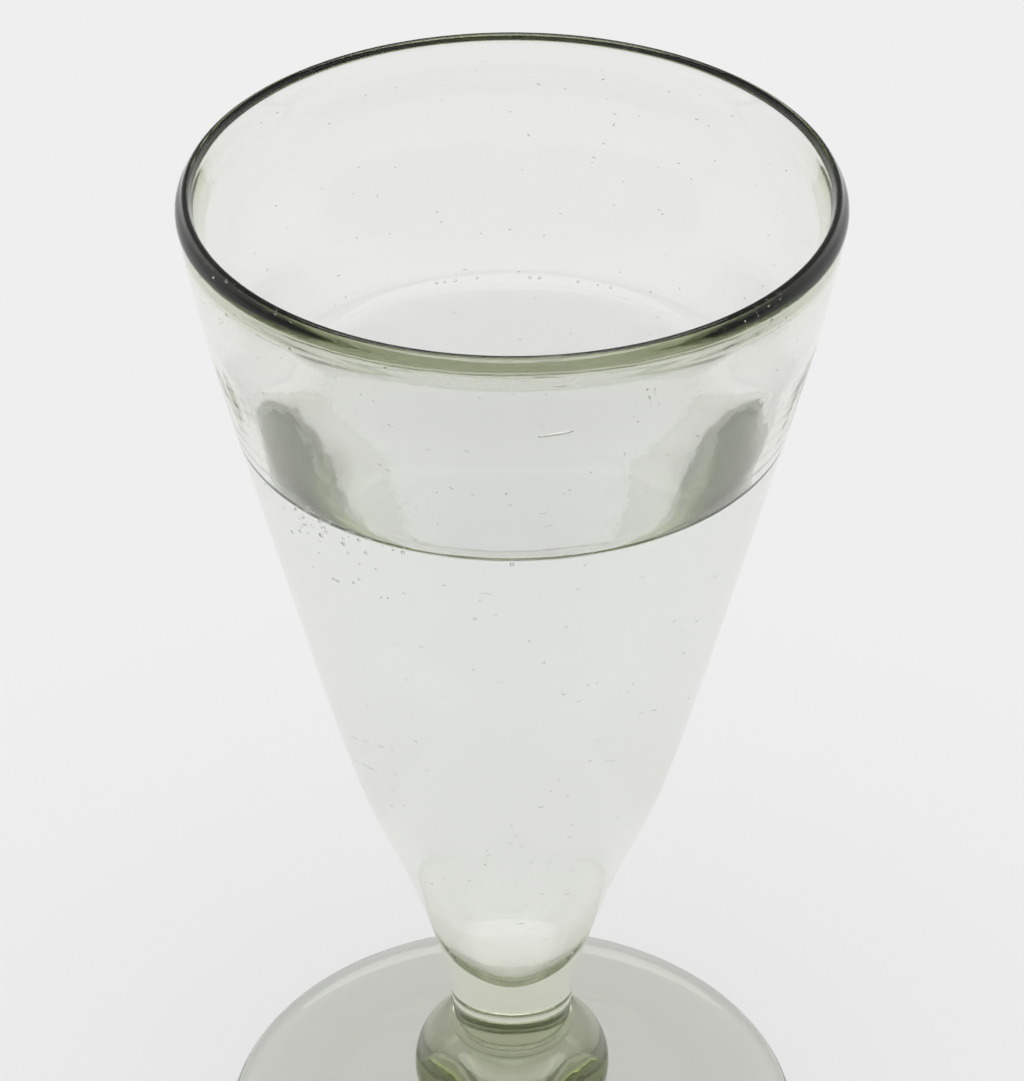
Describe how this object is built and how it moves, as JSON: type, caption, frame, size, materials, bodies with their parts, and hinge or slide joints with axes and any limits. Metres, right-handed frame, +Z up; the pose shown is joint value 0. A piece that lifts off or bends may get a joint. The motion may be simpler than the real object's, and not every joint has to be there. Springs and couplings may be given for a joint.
{
  "type": "champagne glass",
  "caption": "Hand-blown champagne glass in pale green glass: tall conical bowl with a tapered lip and a solid neck, a short collar for a stem, bun-shaped knop and round foot.",
  "frame": {"origin": "centre of the ring that the foot stands on, at table height", "axes": "+Z up along the glass's own axis, from the foot to the mouth; the glass is round, so X and Y are any two directions across it"},
  "size_m": [0.075, 0.075, 0.141],
  "materials": {
    "bowl_glass": "clear pale green blown glass with small seeds, fire-polished",
    "stem_glass": "clear green glass, solid, fire-polished",
    "knop_glass": "clear green glass, solid, fire-polished",
    "foot_glass": "clear pale green glass, spread and fire-polished, broken pontil mark underneath"
  },
  "bodies": {
    "root": {"bowl": "bowl_glass", "stem": "stem_glass", "knop": "knop_glass", "foot": "foot_glass"}
  },
  "joints": []
}
